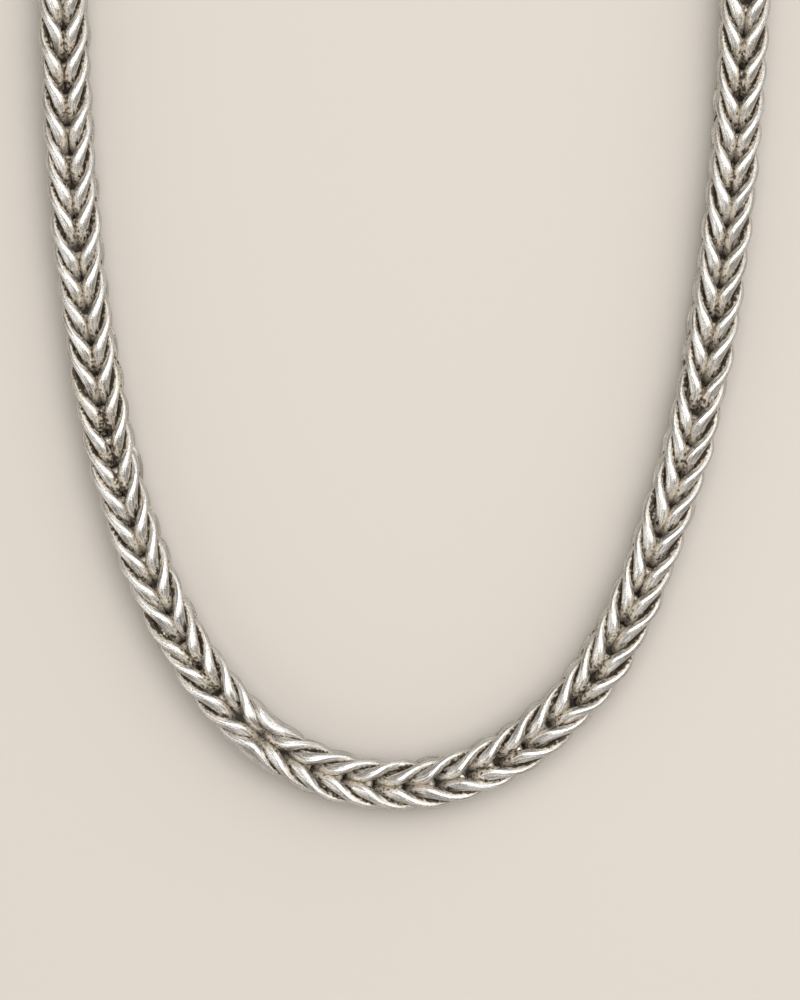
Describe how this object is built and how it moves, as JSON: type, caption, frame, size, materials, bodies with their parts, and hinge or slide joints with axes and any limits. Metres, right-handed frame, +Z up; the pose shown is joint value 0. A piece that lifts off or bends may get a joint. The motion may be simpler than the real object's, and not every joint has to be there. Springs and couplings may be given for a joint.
{
  "type": "wheat chain necklace",
  "caption": "Heavy wheat chain necklace of doubly interlocked bent-wire links, lying as a closed oval, with a plain clasp at the back and the weave turned to face itself near the front.",
  "frame": {"origin": "centre of the outline, on the surface that the chain rests on", "axes": "+Z up from that surface, +Y towards the clasp at the back, +X to the right seen from above with the clasp at the top"},
  "size_m": [0.1078, 0.1827, 0.0073],
  "materials": {
    "silver": "polished silver, scratched by wear and dark brown in the recesses"
  },
  "bodies": {
    "root": {"chain_left": "silver", "chain_right": "silver", "joining_rings": "silver", "clasp": "silver"}
  },
  "joints": []
}
